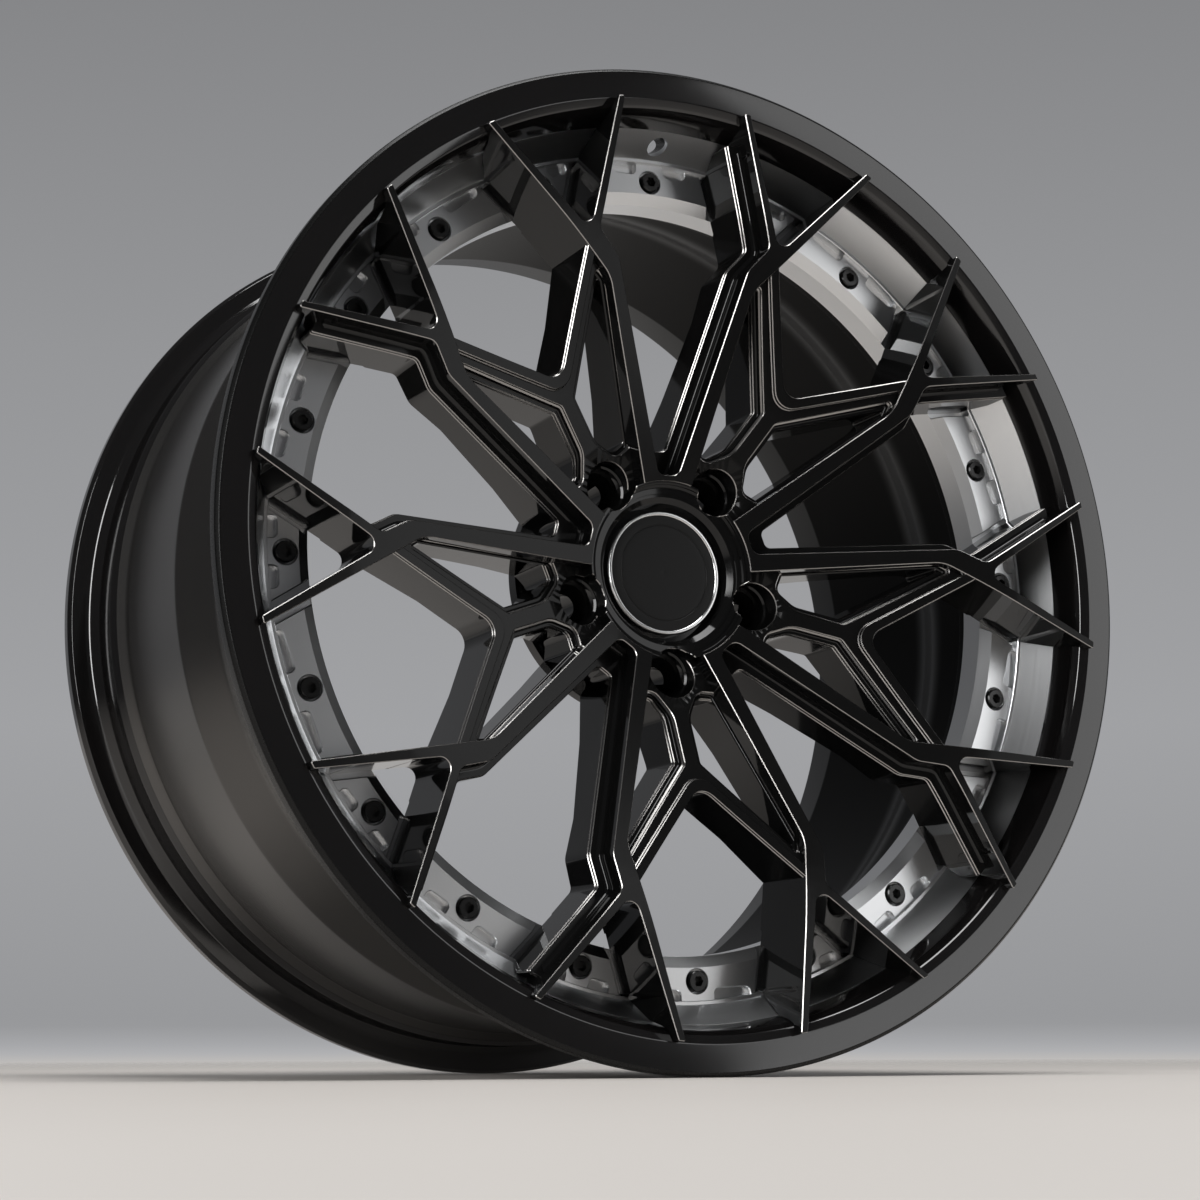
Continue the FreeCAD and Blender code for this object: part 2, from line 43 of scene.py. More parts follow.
class Wire:
    def __init__(self, tree, socket):
        self.tree = tree
        self.socket = socket

    def math(self, operation, first, second):
        node = self.tree.nodes.new("ShaderNodeMath")
        node.operation = operation
        for slot, value in zip(node.inputs, (first, second)):
            if isinstance(value, Wire):
                self.tree.links.new(value.socket, slot)
            else:
                slot.default_value = value
        return Wire(self.tree, node.outputs[0])

    def __add__(self, other):
        return self.math("ADD", self, other)

    def __radd__(self, other):
        return self.math("ADD", other, self)

    def __sub__(self, other):
        return self.math("SUBTRACT", self, other)

    def __rsub__(self, other):
        return self.math("SUBTRACT", other, self)

    def __mul__(self, other):
        return self.math("MULTIPLY", self, other)

    def __rmul__(self, other):
        return self.math("MULTIPLY", other, self)

    def __pow__(self, other):
        return self.math("POWER", self, other)


class Graph:
    def __init__(self, tree):
        self.tree = tree

    def add(self, kind, settings, inputs):
        node = self.tree.nodes.new(kind)
        for key, value in settings.items():
            setattr(node, key, value)
        for key, value in inputs.items():
            if isinstance(value, Wire):
                self.tree.links.new(value.socket, node.inputs[key])
            else:
                node.inputs[key].default_value = value
        return node

    def out(self, node, name):
        return Wire(self.tree, node.outputs[name])

    def place(self, kind="Object"):
        return self.out(self.add("ShaderNodeTexCoord", {}, {}), kind)

    def axes(self, vector):
        node = self.add("ShaderNodeSeparateXYZ", {}, {"Vector": vector})
        return [self.out(node, axis) for axis in "XYZ"]

    def noise(self, vector, scale, detail):
        node = self.add("ShaderNodeTexNoise", {}, {"Vector": vector, "Scale": scale, "Detail": detail})
        return self.out(node, "Fac")

    def blend(self, factor, low, high):
        # the colour sockets of a mix node are its inputs 6 and 7 and its output 2
        node = self.add("ShaderNodeMix", {"data_type": "RGBA"}, {"Factor": factor, 6: low, 7: high})
        return self.out(node, 2)

    def ease(self, value, low, high):
        node = self.add("ShaderNodeMapRange", {"interpolation_type": "SMOOTHSTEP"},
                        {"Value": value, "From Min": low, "From Max": high})
        return self.out(node, "Result")


class Shader(Graph):
    def __init__(self, name, constants):
        self.material = bpy.data.materials.new(name)
        self.material.use_nodes = True
        super().__init__(self.material.node_tree)
        self.surface = self.tree.nodes["Principled BSDF"]
        for key, value in constants.items():
            self.surface.inputs[key].default_value = value

    def feed(self, name, wire):
        self.tree.links.new(wire.socket, self.surface.inputs[name])

    def bump(self, height, strength, distance):
        node = self.add("ShaderNodeBump", {},
                        {"Height": height, "Strength": strength, "Distance": distance})
        self.feed("Normal", self.out(node, "Normal"))

    def axleRadius(self):
        across, along, up = self.axes(self.place())
        return (across * across + up * up) ** 0.5


def opaque(colour):
    return (*colour, 1)


def grey(value):
    return (value, value, value, 1)


# noise scales for each metre, with bump strength and height
paint = {"broad": 14, "detail": 3, "bump": 0.0006, "height": 0.0002, "ior": 1.5}
turning = {"broad": 20, "detail": 4, "bump": 0.015, "height": 0.0002}


def lacquer(name, dark, light, roughLow, roughHigh, grain, shine=0.5, flake=0.0):
    shader = Shader(name, {"Metallic": flake, "IOR": paint["ior"], "Specular IOR Level": shine})
    fine = shader.noise(shader.place(), grain, paint["detail"])
    broad = shader.noise(shader.place(), paint["broad"], 2)
    shader.feed("Base Color", shader.blend(broad, dark, light))
    shader.feed("Roughness", roughLow + fine * (roughHigh - roughLow))
    shader.bump(fine, paint["bump"], paint["height"])
    return shader.material


def turnedMetal(name, dark, light, roughLow, roughHigh, pitch):
    shader = Shader(name, {"Metallic": 1.0})
    radius = shader.axleRadius()
    line = shader.out(shader.add("ShaderNodeCombineXYZ", {}, {"X": radius}), "Vector")
    rings = shader.noise(line, pitch, turning["detail"])
    broad = shader.noise(shader.place(), turning["broad"], 2)
    shader.feed("Base Color", shader.blend(broad, dark, light))
    shader.feed("Roughness", roughLow + rings * (roughHigh - roughLow))
    shader.bump(rings, turning["bump"], turning["height"])
    return shader.material


# each finish: two colours, two roughness values, grain, and for lacquer its shine and metal flake
finish = {
    "gloss": lacquer("glossBlack", grey(0.003), grey(0.006), 0.04, 0.08, 900, 0.36),
    "face": lacquer("satinFace", grey(0.005), grey(0.008), 0.15, 0.20, 1200, 0.16),
    # the edge finish is pale metal on the chamfers and step lines of the black paint, standing in for the
    # highlights along them: painted highlight
    "edge": turnedMetal("paintedHighlightEdge", (0.29, 0.28, 0.27, 1), (0.38, 0.37, 0.36, 1), 0.18, 0.30, 700),
    "silver": turnedMetal("turnedSilver", (0.73, 0.74, 0.75, 1), (0.82, 0.83, 0.84, 1), 0.27, 0.33, 900),
    "lip": lacquer("satinLip", grey(0.004), grey(0.006), 0.26, 0.29, 700, 0.22),
    "throat": lacquer("glossThroat", grey(0.004), (0.007, 0.006, 0.006, 1), 0.07, 0.10, 700, 0.8),
    "barrel": lacquer("satinBarrel", (0.105, 0.102, 0.099, 1), (0.122, 0.118, 0.114, 1),
                      0.25, 0.27, 300, 0.5, 0.9),
    # the inside finish is a near-black, low-shine copy of the barrel paint for the faces turned toward the
    # axle: painted shade
    "inside": lacquer("barrelInsidePaintedShade", grey(0.003), grey(0.005), 0.26, 0.32, 600, 0.06),
    "bolt": lacquer("blackBolt", grey(0.006), grey(0.016), 0.16, 0.30, 1500),
    "plastic": lacquer("capPlastic", grey(0.010), grey(0.016), 0.4, 0.5, 900),
    "trim": turnedMetal("trimBright", grey(0.60), grey(0.72), 0.10, 0.2, 500),
    "disc": lacquer("capFace", grey(0.004), grey(0.007), 0.30, 0.40, 900, 0.2),
    "spring": turnedMetal("springSteel", grey(0.4), grey(0.5), 0.3, 0.4, 500),
}
dressed = {"assembly_bolts": "bolt", "cap_body": "plastic", "cap_spring_ring": "spring"}
for name, look in dressed.items():
    mesh = nodes[name].data
    mesh.materials.clear()
    mesh.materials.append(finish[look])
print("finishes done")

wheel = {
    "firstPair": -3.2, "spokes": 5, "pitch": 72.0, "padDepth": 92.0, "metre": 0.001, "sharpAngle": 28.0,
    "weld": 2e-6, "sliver": 1e-6,
}


class Shell:
    # gathers strips and caps in millimetres as (across, depth behind the lip plane, up)
    def __init__(self):
        self.points = []
        self.corners = []
        self.sizes = []
        self.looks = []
        self.count = 0

    def take(self, points, faces, look):
        self.points.append(points)
        self.corners.append((faces + self.count).ravel())
        self.sizes.append(np.full(len(faces), faces.shape[1]))
        self.looks.append(np.broadcast_to(look, len(faces)))
        self.count += len(points)

    def join(self, other, degrees):
        cosine, sine = math.cos(math.radians(degrees)), math.sin(math.radians(degrees))
        spin = np.array([[cosine, 0, -sine], [0, 1, 0], [sine, 0, cosine]])
        self.points += [points @ spin for points in other.points]
        self.corners += [corners + self.count for corners in other.corners]
        self.sizes += other.sizes
        self.looks += other.looks
        self.count += other.count

    def build(self, name, materials, node):
        points = np.concatenate(self.points)
        points = (points - (0, wheel["padDepth"], 0)) * wheel["metre"]
        corners = np.concatenate(self.corners)
        sizes = np.concatenate(self.sizes)
        mesh = bpy.data.meshes.new(name)
        mesh.vertices.add(len(points))
        mesh.vertices.foreach_set("co", points.ravel())
        mesh.loops.add(len(corners))
        mesh.loops.foreach_set("vertex_index", corners)
        mesh.polygons.add(len(sizes))
        mesh.polygons.foreach_set("loop_start", np.concatenate([[0], np.cumsum(sizes)[:-1]]))
        for material in materials:
            mesh.materials.append(material)
        mesh.polygons.foreach_set("material_index", np.concatenate(self.looks))
        mesh.update(calc_edges=True)
        mesh.validate()
        weld = bmesh.new()
        weld.from_mesh(mesh)
        bmesh.ops.remove_doubles(weld, verts=weld.verts, dist=wheel["weld"])
        bmesh.ops.dissolve_degenerate(weld, edges=weld.edges, dist=wheel["sliver"])
        weld.to_mesh(mesh)
        weld.free()
        mesh.polygons.foreach_set("use_smooth", np.ones(len(mesh.polygons), bool))
        mesh.set_sharp_from_angle(angle=math.radians(wheel["sharpAngle"]))
        piece = bpy.data.objects.new(name, mesh)
        bpy.context.collection.objects.link(piece)
        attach(piece, "root")
        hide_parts(node)
        print(name, len(mesh.polygons), "faces")
        return piece


# each corner of an outline gives way to an arc tangent to its two sides,
# and the straight runs between arcs are divided evenly
def roundedLoop(corners, spacing, steps=9):
    rows = np.array(corners, float)
    here = rows[:, :2]
    back = np.roll(here, 1, axis=0) - here
    ahead = np.roll(here, -1, axis=0) - here
    backLength = np.linalg.norm(back, axis=1, keepdims=True)
    aheadLength = np.linalg.norm(ahead, axis=1, keepdims=True)
    back = back / backLength
    ahead = ahead / aheadLength
    halfAngle = np.arccos(np.clip((back * ahead).sum(1, keepdims=True), -0.99999, 0.99999)) / 2
    run = np.maximum(rows[:, 2:3], 0.25) / np.tan(halfAngle)
    run = np.minimum(run, 0.46 * np.minimum(backLength, aheadLength))
    radius = run * np.tan(halfAngle)
    inward = (back + ahead) / np.linalg.norm(back + ahead, axis=1, keepdims=True)
    middle = here + inward * radius / np.sin(halfAngle)
    first = (here + back * run - middle)[:, None]
    last = (here + ahead * run - middle)[:, None]
    sweep = (np.pi - 2 * halfAngle)[:, None]
    share = np.linspace(0, 1, steps)[None, :, None]
    arc = (np.sin((1 - share) * sweep) * first + np.sin(share * sweep) * last) / np.sin(sweep)
    line = (middle[:, None] + arc).reshape(-1, 2)
    closed = np.vstack([line, line[:1]])
    length = np.concatenate([[0], np.cumsum(np.linalg.norm(np.diff(closed, axis=0), axis=1))])
    even = np.arange(0, length[-1], spacing)
    apart = np.abs(even[:, None] - length[None]).min(1)
    marks = np.sort(np.concatenate([length[:-1], even[apart > 0.4 * spacing]]))
    loop = np.column_stack([np.interp(marks, length, closed[:, 0]), np.interp(marks, length, closed[:, 1])])
    return loop if signedArea(loop) > 0 else loop[::-1]


def signedArea(loop):
    ahead = np.roll(loop, -1, axis=0)
    return (loop[:, 0] * ahead[:, 1] - loop[:, 1] * ahead[:, 0]).sum() / 2


# a point moves along the mean of its two side normals, lengthened so both sides move alike
def moved(loop, amount):
    side = np.roll(loop, -1, axis=0) - loop
    side = side / np.maximum(np.linalg.norm(side, axis=1, keepdims=True), 1e-9)
    normal = np.column_stack([side[:, 1], -side[:, 0]])
    before = np.roll(normal, 1, axis=0)
    mean = (normal + before) / np.maximum(1 + (normal * before).sum(1, keepdims=True), 0.5)
    return loop + mean * amount


def radiusOf(loop):
    return np.hypot(loop[:, 0], loop[:, 1])


def turnedBy(loop, degrees):
    cosine, sine = math.cos(math.radians(degrees)), math.sin(math.radians(degrees))
    across, up = loop[:, 0], loop[:, 1]
    return np.column_stack([across * cosine + up * sine, up * cosine - across * sine])


# a point is inside when a line from it to the right crosses the loop an odd number of times
def inside(loop, spots):
    ahead = np.roll(loop, -1, axis=0)
    across, up = spots[:, 0, None], spots[:, 1, None]
    spans = (loop[None, :, 1] > up) != (ahead[None, :, 1] > up)
    rise = ahead[:, 1] - loop[:, 1]
    rise = np.where(np.abs(rise) < 1e-9, 1e-9, rise)
    meets = loop[:, 0] + (up - loop[:, 1]) * (ahead[:, 0] - loop[:, 0]) / rise
    return (spans & (across < meets)).sum(1) % 2 == 1


# profile rows (outset, depth at each radius) carried along a plan outline
def carry(shell, loop, rows, looks, closed=True):
    count = len(loop)
    grid = []
    for outset, depth in rows:
        plan = moved(loop, outset) if outset else loop
        grid.append(np.column_stack([plan[:, 0], depth(radiusOf(plan)), plan[:, 1]]))
    step = np.arange(count if closed else count - 1)
    ahead = (step + 1) % count
    quad = np.column_stack([step, step + count, ahead + count, ahead])
    for index, look in enumerate(looks):
        shell.take(np.vstack(grid[index:index + 2]), quad, look)


# triangles between plan loops, kept where keep(centre) holds, lifted to a depth at each radius
def cap(shell, loops, keep, depth, look, front=True):
    spots = np.vstack(loops)
    edges = []
    start = 0
    for loop in loops:
        ring = np.arange(len(loop))
        edges.append(np.column_stack([ring, (ring + 1) % len(loop)]) + start)
        start += len(loop)
    spots = [Vector(spot) for spot in spots.tolist()]
    found = delaunay_2d_cdt(spots, np.vstack(edges).tolist(), [], 0, 1e-5)
    plan = np.array([tuple(vertex) for vertex in found[0]])
    faces = np.array([face for face in found[2] if len(face) == 3])
    corner = plan[faces]
    faces = faces[keep(corner.mean(1))]
    corner = plan[faces]
    one, two = corner[:, 1] - corner[:, 0], corner[:, 2] - corner[:, 0]
    area = one[:, 0] * two[:, 1] - one[:, 1] * two[:, 0]
    real = np.abs(area) > 1e-7
    faces, area = faces[real], area[real]
    wrong = area < 0 if front else area > 0
    faces[wrong] = faces[wrong][:, ::-1]
    shell.take(np.column_stack([plan[:, 0], depth(radiusOf(plan)), plan[:, 1]]), faces, look)


# (radius, depth) profile swept a full turn about the axle: across is radius times the sine
# of the turn, up is radius times its cosine, and looks holds one value for each side of the profile
def sweepRound(shell, profile, looks, segments=360, closed=True):
    angle = np.linspace(0, 2 * np.pi, segments, endpoint=False)
    radius, depth = profile[:, 0, None], profile[:, 1, None]
    depth = np.repeat(depth, segments, 1)
    points = np.stack([radius * np.sin(angle), depth, radius * np.cos(angle)], axis=2)
    count = len(profile)
    sides = count if closed else count - 1
    row = np.arange(sides)[:, None] * segments
    nextRow = (np.arange(1, sides + 1)[:, None] % count) * segments
    step = np.arange(segments)[None]
    ahead = (step + 1) % segments
    quads = np.stack([row + step, row + ahead, nextRow + ahead, nextRow + step], axis=2)
    looks = np.repeat(np.broadcast_to(looks, sides), segments)
    shell.take(points.reshape(-1, 3), quads.reshape(-1, 4), looks)


# places in the spoke centre's list of materials
# the third place holds the pale edge finish, a painted highlight along the chamfers and step lines
gloss, face, paintedHighlight = 0, 1, 2

spokes = {
    "spacing": 1.6, "edge": 0.4, "lineDrop": 1.7, "lineWidth": 0.45, "strutTurn": 36.0,
    "fillet": 2.6, "filletEnd": 238, "filletStart": 10, "windowFillet": 1.2,
    "terrace": 0.9, "terraceDrop": 1.5, "terraceBevel": 0.4, "terraceFoot": 2.6,
    "hubEdge": 50.2, "padRadius": 76, "bore": 36.55, "backTurns": (76, 105, 150), "backSteps": (100, 250),
    # backs of the ledge, chevron and web lie a hair behind the arms so that no two coincide
    "backGap": 0.03,
    # right half of each outline: across, outward, corner radius
    "pair": [(0, 49.8, 0), (3.8, 49.65, 0), (7.6, 49.22, 0), (11.3, 48.5, 0), (14.99, 47.49, 0.8),
             (45.4, 154.7, 20), (121.4, 225.84, 0.9), (117.73, 227.78, 0.9), (59.6, 176.4, 5.5),
             (41.77, 252.97, 0.9), (37.96, 253.57, 0.9), (53.7, 178.8, 6), (40.8, 165.5, 12),
             (6.2, 53.0, 5.4)],
    "ledge": [(4.9, 69.0, 4), (35.5, 168.7, 10), (47.2, 180.8, 5), (34.61, 240.52, 0.9), (42.9, 239.2, 0),
              (55.5, 183.0, 0), (45.0, 163.0, 0), (13.0, 55.0, 0), (9.0, 52.0, 0)],
    "chevron": [(0.0, 120.5, 9), (53.5, 175.4, 0), (55.0, 169.4, 0), (0.0, 112.5, 11)],
    "web": [(0.0, 120.5, 9), (53.5, 175.4, 0), (58.0, 146.0, 0), (19.0, 44.8, 0), (0.0, 36.0, 0)],
    "upperWindow": [(52.6, 161.2, 3.2), (54.8, 151.9, 0), (24.5, 68.0, 4), (13.5, 67.0, 7),
                    (4.5, 81.0, 14), (4.3, 109.0, 4)],
    "lowerWindow": [(53.0, 156.0, 2.4), (54.8, 151.9, 0), (25.6, 71.5, 3), (14.5, 70.5, 5),
                    (8.2, 82.0, 11), (8.2, 108.0, 3)],
    # flat cones: depth, change of depth for each millimetre inward, radius
    "chevronCone": (24.3, 0.331, 123), "webCone": (33.7, 0.323, 105), "shelfDrop": 4.5,
    # depth behind the lip plane against radius
    "crestCurve": [(20, 48.05), (49.8, 40), (190.5, 2), (256.4, -4.8), (280, -7.24)],
    "ledgeCurve": [(20, 63.05), (49.8, 55), (190.5, 17), (243, 11), (280, 6.8)],
    "backCurve": [(30, 88), (76, 84), (105, 69), (150, 52), (203.4, 47), (203.6, 45.6), (233.8, 45.6),
                  (234.2, 37.9), (235.8, 37.8), (246.3, 21), (249.3, 8), (251.8, 2.65), (256.4, 0.1),
                  (280, 0.1)],
    "hubCurve": [(39, 49), (42, 46.5), (43.6, 46.3), (43.7, 45.4), (46.6, 45.0), (46.8, 43.2), (48.2, 42.6),
                 (48.3, 41.6), (49.8, 40.9), (50.2, 40.9), (50.3, 53), (60, 56)],
    "softBend": 14.0, "softSamples": 5,
    # turned walls of the hub: radius, depth
    "boreWall": [(39, 49), (39, 57), (32, 57), (32, 76), (36.55, 76), (36.55, 92)],
    "hubSide": [(76, 92), (76, 83.8), (60, 70)],
    # stud pockets: circle, radius, then how far in and how deep each step of the wall is
    "studCircle": 57.15, "studPocket": 13.8, "studBore": 6.55, "hubDrop": 1.0,
    "studSteps": [(0, 56.5), (1.1, 57.4), (1.1, 64), (2.3, 64), (6.55, 71.4), (6.55, 92)],
    "studPoints": 96, "crossingGap": 0.04,
}


def curve(name, soft=0.0):
    rows = np.array(spokes[name])
    shifts = np.linspace(-soft, soft, spokes["softSamples"])

    def depth(radius):
        return np.mean([np.interp(radius + shift, rows[:, 0], rows[:, 1]) for shift in shifts], axis=0)

    return depth


def cone(name):
    depth, slope, middle = spokes[name]
    return lambda radius: depth + slope * (middle - radius)


def flat(depth):
    return lambda radius: np.full_like(radius, depth)


def lower(depth, amount):
    return lambda radius: depth(radius) + amount


def bothSides(half):
    return half + [(-across, along, radius) for across, along, radius in reversed(half) if across > 0]


def outline(name):
    return roundedLoop(bothSides(spokes[name]), spokes["spacing"])


def ringLoop(radius, count=240):
    angle = np.linspace(0, 2 * np.pi, count, endpoint=False)
    return np.column_stack([radius * np.cos(angle), radius * np.sin(angle)])


crest = curve("crestCurve", spokes["softBend"])
ledge = curve("ledgeCurve", spokes["softBend"])
under = curve("backCurve")
hubTop = curve("hubCurve")
chevron = cone("chevronCone")
web = cone("webCone")
shelf = lower(web, spokes["shelfDrop"])


def quarterRound(floor, size, steps=5):
    turn = np.linspace(0, np.pi / 2, steps)
    return [(size * (1 - math.cos(t)), lower(floor, -size * (1 - math.sin(t)))) for t in turn]


# painted highlight on the edge chamfer and wall below it, with a second painted highlight line part way down
# where double
def edgeRows(top, bottom, double):
    edge, drop, width = spokes["edge"], spokes["lineDrop"], spokes["lineWidth"]
    rows = [(-edge, top), (0, lower(top, edge))]
    if not double:
        return rows + [(0, bottom)], [paintedHighlight, gloss]
    rows += [(0, lower(top, edge + drop)), (width, lower(top, edge + drop + width)), (width, bottom)]
    return rows, [paintedHighlight, gloss, paintedHighlight, gloss]


# wall of a window with one step, and a hollow fillet where it meets the shelf; its edge and the step's bevel
# carry painted highlight
def terraceRows(level):
    edge, width, drop = spokes["edge"], spokes["terrace"], spokes["terraceDrop"]
    hollow = [(outset + width, depth) for outset, depth in quarterRound(shelf, spokes["windowFillet"])]
    rows = [(-edge, level), (0, lower(level, edge)), (0, lower(level, drop)),
            (width, lower(level, drop + spokes["terraceBevel"])),
            (width, lower(level, spokes["terraceFoot"]))]
    return rows + hollow, [paintedHighlight, gloss, paintedHighlight, gloss] + [gloss] * len(hollow)


# a raised form: top with a painted-highlight edge, wall down to its back and, where steps are given, the back
# itself
def raised(shell, loop, top, bottom, double, steps=None):
    rim = moved(loop, -spokes["edge"])
    cap(shell, [rim], lambda spot: inside(rim, spot), top, face)
    carry(shell, loop, *edgeRows(top, bottom, double))
    if steps:
        cap(shell, [loop] + steps, lambda spot: inside(loop, spot), bottom, gloss, False)


def spokeSector(shell):
    edge, gap, turn, pad = spokes["edge"], spokes["backGap"], spokes["strutTurn"], spokes["padRadius"]
    near, far = spokes["backSteps"]
    steps = [ringLoop(radius, 180) for radius, depth in spokes["backCurve"] if near < radius < far]
    # two arms and four blades on the crest, then the step inside the pair
    raised(shell, outline("pair"), crest, under, False, steps)
    raised(shell, outline("ledge"), ledge, lower(under, gap), True, steps)
    # forked strut: chevron band, web with its windows and the shelf below
    raised(shell, turnedBy(outline("chevron"), turn), chevron, lower(under, 2 * gap), True)
    kite = turnedBy(outline("web"), turn)
    stud = turnedBy(ringLoop(spokes["studPocket"], 72) + (0, spokes["studCircle"]), turn)
    outer = spokes["hubEdge"]
    for level, window in ((web, "upperWindow"), (shelf, "lowerWindow")):
        right = roundedLoop(spokes[window], spokes["spacing"])
        holes = [turnedBy(right, turn), turnedBy((right * (-1, 1))[::-1], turn)]
        tops = [moved(hole[::-1], -edge) for hole in holes]
        mouth = moved(stud, edge) if level is web else stud

        def keep(spot):
            solid = inside(kite, spot) & ~inside(mouth, spot) & (radiusOf(spot) > outer)
            return solid & ~inside(tops[0], spot) & ~inside(tops[1], spot)

        cap(shell, [kite, mouth, ringLoop(outer)] + tops, keep, level, face)
        for hole in holes:
            wall = terraceRows(level) if level is web else edgeRows(level, under, True)
            carry(shell, hole[::-1], *wall)

    # back of the strut, open at the lower windows
    def keepBack(spot):
        solid = inside(kite, spot) & (radiusOf(spot) > pad)
        return solid & ~inside(holes[0], spot) & ~inside(holes[1], spot)

    turns = [ringLoop(radius) for radius in spokes["backTurns"]]
    cap(shell, [kite] + turns + holes, keepBack, lower(under, 3 * gap), gloss, False)


def hollowFillet(shell):
    # concave round between the inner wall of the pair and its step, as far as the lip
    path = roundedLoop(bothSides(spokes["pair"][spokes["filletStart"]:]), spokes["spacing"])[::-1]
    within = path[:, 1] < spokes["filletEnd"]
    first = np.flatnonzero(within & ~np.roll(within, 1))[0]
    path = np.roll(path, -first, axis=0)[:within.sum()]
    rows = quarterRound(ledge, spokes["fillet"])
    carry(shell, path, rows, [gloss] * (len(rows) - 1), False)


# annulus less some loops
def between(low, high, loops):
    def keep(spot):
        solid = (radiusOf(spot) > low) & (radiusOf(spot) < high)
        for loop in loops:
            solid = solid & ~inside(loop, spot)
        return solid

    return keep


# turn, seen from a stud, at which a pocket of each size crosses the hub's edge:
# the cosine rule for the triangle of axle, stud and crossing
def pocketCrossings():
    circle, reach, ringEdge = spokes["studCircle"], spokes["studPocket"], spokes["hubEdge"]
    size = np.array([reach, reach + spokes["edge"]])
    return np.degrees(np.arccos((ringEdge ** 2 - circle ** 2 - size ** 2) / (2 * circle * size)))


def hubCentre(shell):
    ringEdge, reach, circle, edge = (spokes[key] for key in ("hubEdge", "studPocket", "studCircle", "edge"))
    bore, pad, pitch = spokes["bore"], spokes["padRadius"], wheel["pitch"]
    crossing = pocketCrossings()
    close = np.concatenate([crossing - spokes["crossingGap"], crossing + spokes["crossingGap"]])
    angle = np.linspace(-180, 180, spokes["studPoints"], endpoint=False)
    angle = np.radians(np.sort(np.concatenate([angle, close, -close])))
    hole = np.column_stack([-reach * np.sin(angle), circle + reach * np.cos(angle)])
    turns = [spokes["strutTurn"] + pitch * number for number in range(wheel["spokes"])]
    pockets = [turnedBy(hole, turn) for turn in turns]
    mouths = [moved(pocket, edge) for pocket in pockets]
    radii = [radius for radius, depth in spokes["hubCurve"] if radius <= ringEdge]
    rings = [ringLoop(radius) for radius in radii]
    cap(shell, rings + mouths, between(radii[0], radii[-1], mouths), hubTop, gloss)
    # wall from the hub's edge down to the web, between the pockets
    half = math.degrees(math.asin(reach * math.sin(math.radians(crossing[0])) / ringEdge))
    for turn in turns:
        arc = np.radians(turn + np.linspace(pitch - half, half, 60))
        path = ringEdge * np.column_stack([np.sin(arc), np.cos(arc)])
        carry(shell, path, [(0, hubTop), (0, lower(web, spokes["hubDrop"]))], [gloss], False)

    def mouthTop(radius):
        return np.where(radius > ringEdge, web(radius), hubTop(radius))

    rows = [(-edge, mouthTop), (0, lower(mouthTop, edge))]
    rows += [(inset, flat(depth)) for inset, depth in spokes["studSteps"]]
    for pocket in pockets:
        # the chamfer round each pocket's mouth carries painted highlight
        carry(shell, pocket[::-1], rows, [paintedHighlight, gloss, gloss, gloss, gloss, face, gloss])
    sweepRound(shell, np.array(spokes["boreWall"])[::-1], gloss, 240, False)
    # mounting pad
    studHoles = [moved(pocket[::-1], spokes["studBore"])[::-1] for pocket in pockets]
    cap(shell, [ringLoop(bore), ringLoop(pad)] + studHoles, between(bore, pad, studHoles),
        flat(wheel["padDepth"]), face, False)
    sweepRound(shell, np.array(spokes["hubSide"])[::-1], gloss, 240, False)


sector = Shell()
spokeSector(sector)
hollowFillet(sector)
hub = Shell()
hubCentre(hub)
centre = Shell()
for number in range(wheel["spokes"]):
    centre.join(sector, wheel["firstPair"] + wheel["pitch"] * number)
centre.join(hub, wheel["firstPair"])
looks = [finish["gloss"], finish["face"], finish["edge"]]
centre.build("spokeCentre", looks, "spoke_centre")

# silver ring: face with bolt recesses, milled pockets and channels round the feet of the blades
band = {
    "segments": 360, "edge": 0.5, "inner": 211.0, "bevelDepth": 4.0,
    "faceInner": 217.0, "faceOuter": 234.5, "face": 41.0,
    "boltCircle": 224.2, "recess": 6.5, "recessDepth": 5.0, "pocketDepth": 3.6, "channelDepth": 4.6,
    # valve hole where it meets each cone: radius of its middle, half its height, half its width
    "valve": {"ringFront": (241.5, 3.4, 5.75), "ringBack": (245.0, 2.4, 7.5), "lipFront": (245.1, 2.4, 8.0),
              "lipBack": (250.4, 3.7, 10.5)},
    "backCone": [(240.5, 50), (249, 24)],
    # pockets beside the bolts of a sector: turn from the pair, distance from the bolt, width
    "pockets": [(0, 16.0, 14.0), (18, 13.0, 11.5), (36, 21.5, 22.0), (54, 13.0, 11.5)],
    "pocketFoot": 228.3, "pocketRound": 2.8, "pocketOver": 1.8, "pocketSpacing": 1.5, "channelSpacing": 2.0,
    "channels": [[(38.9, 204.4, 1), (31.9, 237.4, 1), (48.4, 238.6, 1), (56.1, 205.6, 1)],
                 [(74.4, 193.7, 1), (100.8, 217.1, 1), (109.5, 210.3, 1), (84.2, 186.7, 1)]],
    # turned walls: step up from the face to the slope, skirt inside the face, edge beyond the slope
    "slope": [(236.5, 38.5), (247.0, 21.0)], "tongue": (249, 21),
    "shoulder": [(234.5, 46), (234.5, 38.9), (234.85, 38.5)],
    "skirt": [(211.0, 45), (211.0, 60.6), (211.4, 61), (214.5, 61), (214.5, 50)],
}


def valveMouth(name):
    middle, height, across = band["valve"][name]
    angle = np.linspace(0, 2 * np.pi, 48, endpoint=False)
    mouth = np.column_stack([across * np.cos(angle), middle + height * np.sin(angle)])
    return turnedBy(mouth, wheel["firstPair"])


def coneDepth(ends):
    rows = np.array(sorted(ends))
    return lambda radius: np.interp(radius, rows[:, 0], rows[:, 1])


def coneWithHole(shell, ends, name, look, front, segments=band["segments"]):
    low, high = sorted(radius for radius, depth in ends)
    mouth = valveMouth(name)
    loops = [ringLoop(low, segments), ringLoop(high, segments), mouth]
    cap(shell, loops, between(low, high, [mouth]), coneDepth(ends), look, front)


